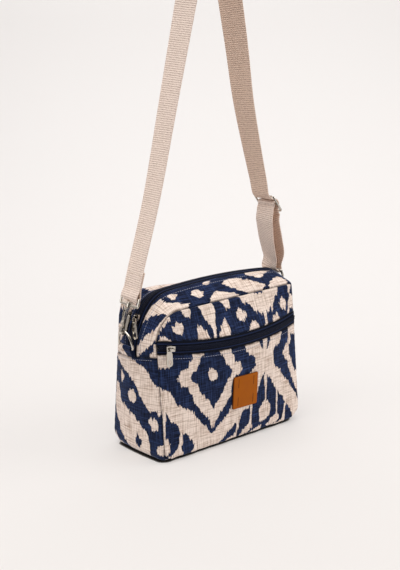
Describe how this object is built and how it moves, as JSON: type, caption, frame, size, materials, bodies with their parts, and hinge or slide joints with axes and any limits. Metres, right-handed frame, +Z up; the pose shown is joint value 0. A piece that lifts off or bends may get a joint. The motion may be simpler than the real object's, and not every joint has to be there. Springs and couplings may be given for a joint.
{
  "type": "shoulder bag",
  "caption": "Soft rectangular shoulder bag in printed cloth with a zipped top, a zipped front pocket and an adjustable webbing strap on snap hooks.",
  "frame": {"origin": "underside of the strap at the top of its loop, where it hangs", "axes": "+Z up, -Y towards the pocket side of the bag, +X to the right seen from the pocket side"},
  "size_m": [0.2659, 0.1153, 0.6685],
  "materials": {
    "printed_cloth": "woven linen look, navy and cream print",
    "webbing": "ribbed cotton webbing, beige",
    "zip_tape": "navy twill tape",
    "zip_coil": "navy nylon coil",
    "silver_metal": "polished nickel",
    "tan_leather": "smooth tan leather"
  },
  "bodies": {
    "bag": {"front_pocket_panel": "printed_cloth", "front_upper_panel": "printed_cloth", "back_panel": "printed_cloth", "lower_gusset": "printed_cloth", "zip_gusset_front": "printed_cloth", "zip_gusset_back": "printed_cloth", "ring_tab_left": "printed_cloth", "ring_tab_right": "printed_cloth", "main_zip_tape_front": "zip_tape", "main_zip_tape_back": "zip_tape", "pocket_zip_tape_lower": "zip_tape", "pocket_zip_tape_upper": "zip_tape", "main_zip_coil": "zip_coil", "pocket_zip_coil": "zip_coil", "main_zip_slider": "silver_metal", "pocket_zip_slider": "silver_metal", "d_ring_left": "silver_metal", "d_ring_right": "silver_metal", "hook_body_left": "silver_metal", "hook_body_right": "silver_metal", "hook_eye_left": "silver_metal", "hook_eye_right": "silver_metal", "strap_slider": "silver_metal", "strap": "webbing", "leather_label": "tan_leather"},
    "main_zip_pull_body": {"main_zip_pull": "silver_metal"},
    "pocket_zip_pull_body": {"pocket_zip_pull": "silver_metal"},
    "hook_gate_left_body": {"hook_gate_left": "silver_metal"},
    "hook_gate_right_body": {"hook_gate_right": "silver_metal"}
  },
  "joints": [
    {"name": "main_pull_hinge", "type": "hinge", "parent": "bag", "child": "main_zip_pull_body", "pos_m": [-0.13271, -0.00277, -0.49495], "axis": [-0.1501, 0.9438, -0.2945], "range_deg": [0, 105]},
    {"name": "pocket_pull_swing", "type": "hinge", "parent": "bag", "child": "pocket_zip_pull_body", "pos_m": [-0.11556, -0.04514, -0.52614], "axis": [-0.2562, -0.9659, 0.0384], "range_deg": [-35, 35]},
    {"name": "left_gate_hinge", "type": "hinge", "parent": "bag", "child": "hook_gate_left_body", "pos_m": [-0.13922, 0.00476, -0.48669], "axis": [0, -0.9994, -0.0335], "range_deg": [0, 8], "stiffness_Nm_per_rad": 0.02, "springref_deg": -8.59},
    {"name": "right_gate_hinge", "type": "hinge", "parent": "bag", "child": "hook_gate_right_body", "pos_m": [0.11031, 0.01109, -0.49476], "axis": [0, 0.9955, -0.0948], "range_deg": [0, 8], "stiffness_Nm_per_rad": 0.02, "springref_deg": -8.59}
  ]
}
